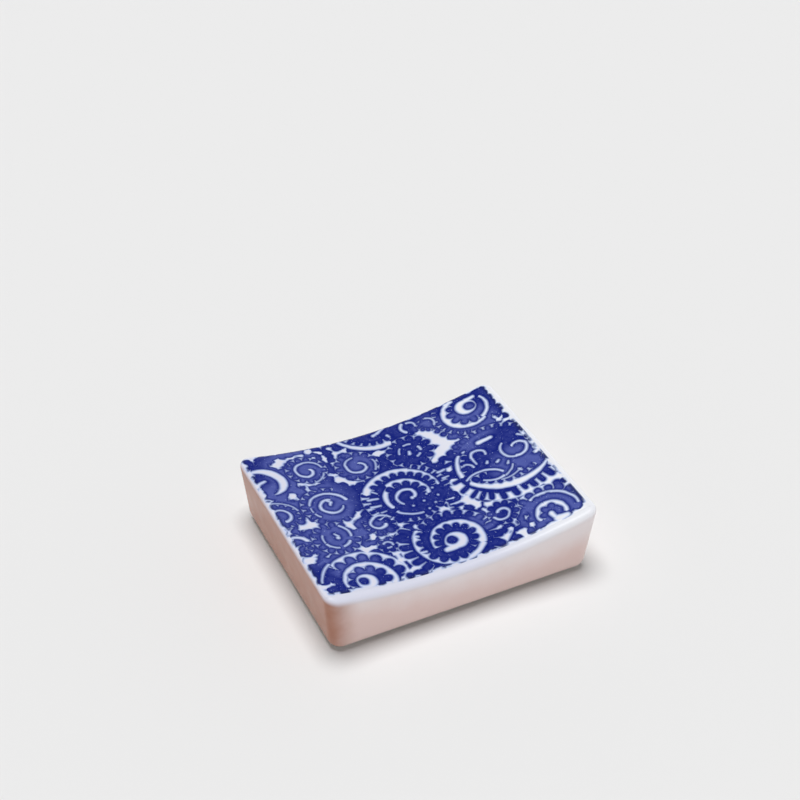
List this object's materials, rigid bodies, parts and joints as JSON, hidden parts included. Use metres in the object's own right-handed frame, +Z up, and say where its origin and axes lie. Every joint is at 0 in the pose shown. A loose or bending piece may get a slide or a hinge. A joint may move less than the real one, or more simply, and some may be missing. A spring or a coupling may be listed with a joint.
{
  "type": "chopstick rest",
  "caption": "Rectangular glazed porcelain chopstick rest with drafted sides, a dished top that cradles chopsticks and a blue scroll print over the whole dish.",
  "frame": {"origin": "centre of the footprint, on the surface that the rest stands on", "axes": "+X along the length towards the higher end, +Y across the dish, the way that chopsticks lie, +Z up"},
  "size_m": [0.0497, 0.0404, 0.0136],
  "materials": {
    "bare_porcelain": "matt unglazed porcelain, off-white",
    "cobalt_blue": "glossy cobalt blue pigment fired onto the glaze",
    "white_glaze": "glossy cool white porcelain glaze"
  },
  "bodies": {
    "root": {"porcelain_body": "bare_porcelain", "cobalt_print": "cobalt_blue", "outer_glaze": "white_glaze", "underside_glaze": "white_glaze"}
  },
  "joints": []
}
